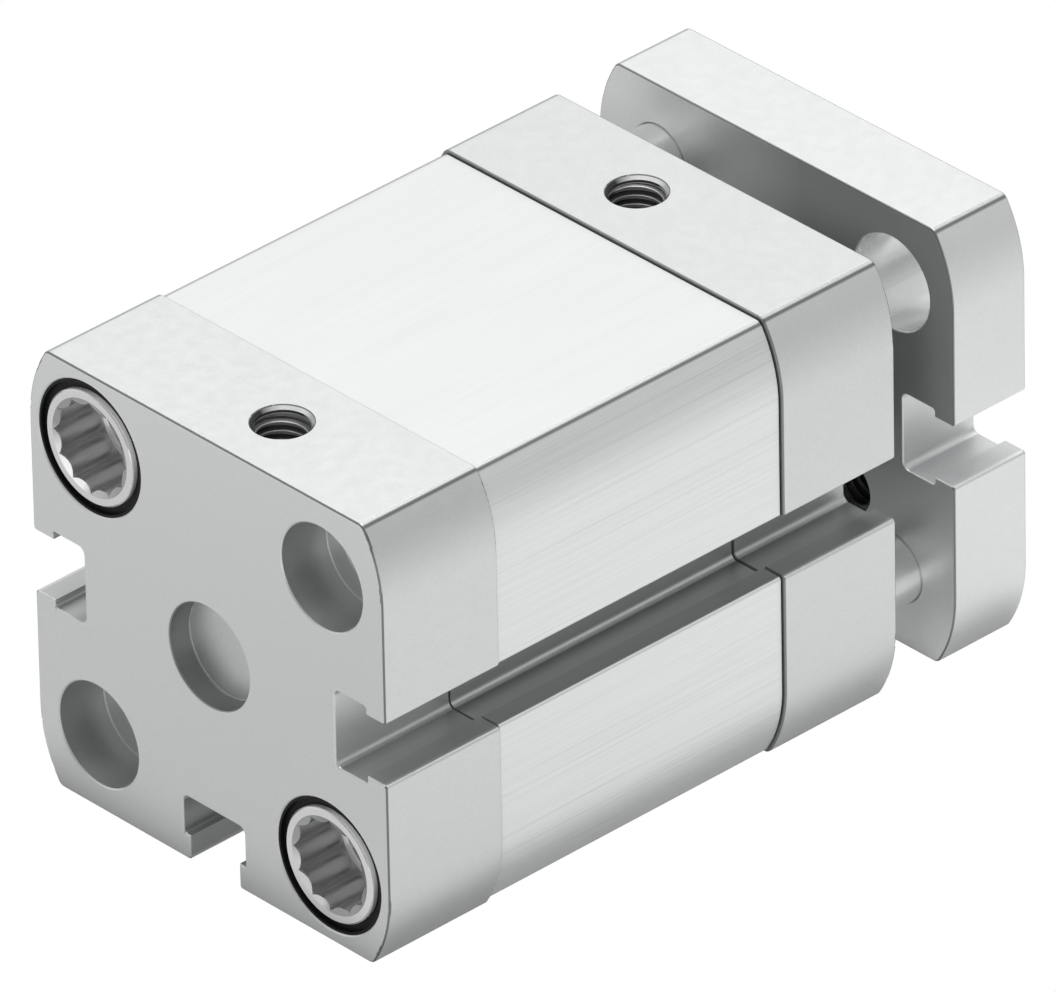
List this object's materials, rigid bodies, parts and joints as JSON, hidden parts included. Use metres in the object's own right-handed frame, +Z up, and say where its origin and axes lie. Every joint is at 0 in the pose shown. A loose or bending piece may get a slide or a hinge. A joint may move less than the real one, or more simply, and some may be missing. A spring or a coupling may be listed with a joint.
{
  "type": "compact pneumatic cylinder",
  "caption": "Compact square-bodied pneumatic cylinder with guide rods and a yoke plate that keep the rod from turning, ports on top and sensor slots along the sides.",
  "frame": {"origin": "centre of the rear face, on the cylinder's axis, at the mouth of the centring recess", "axes": "+X along the cylinder from the rear cap to the yoke plate, +Z up through the ports, +Y to the left as seen from behind"},
  "size_m": [0.068, 0.0396, 0.0396],
  "materials": {
    "anodised": "satin anodised",
    "brushed": "anodised, brushed along the axis",
    "stainless": "turned, bright",
    "polished_rod": "ground and polished",
    "dark_screw": "black oxide",
    "bronze": "sintered bearing metal",
    "piston_aluminium": "machined",
    "black_rubber": "moulded, matt",
    "cushion": "moulded elastomer, matt",
    "magnet": "plastic-bonded magnet",
    "guide_plastic": "bearing plastic, matt"
  },
  "bodies": {
    "housing": {"rear_cap": "anodised", "barrel": "brushed", "front_cap": "anodised", "rear_collar_screws": "stainless", "front_collar_screws": "stainless", "rear_head_seals": "black_rubber", "front_head_seals": "black_rubber", "rear_o_ring": "black_rubber", "front_o_ring": "black_rubber", "rear_cushion": "cushion", "front_cushion": "cushion", "rod_bush": "bronze", "rod_seal": "black_rubber", "rear_guide_bushes": "bronze", "front_guide_bushes": "bronze", "guide_rod_wipers": "black_rubber"},
    "slider": {"piston": "piston_aluminium", "piston_seal": "black_rubber", "piston_magnet": "magnet", "piston_guide_ring": "guide_plastic", "piston_screw": "dark_screw", "piston_rod": "polished_rod", "guide_rods": "polished_rod", "yoke_plate": "anodised", "rod_screw": "dark_screw", "guide_rod_screws": "dark_screw"}
  },
  "joints": [
    {"name": "rod_slide", "type": "slide", "parent": "housing", "child": "slider", "axis": [1, 0, 0], "range_m": [0, 0.015]}
  ]
}
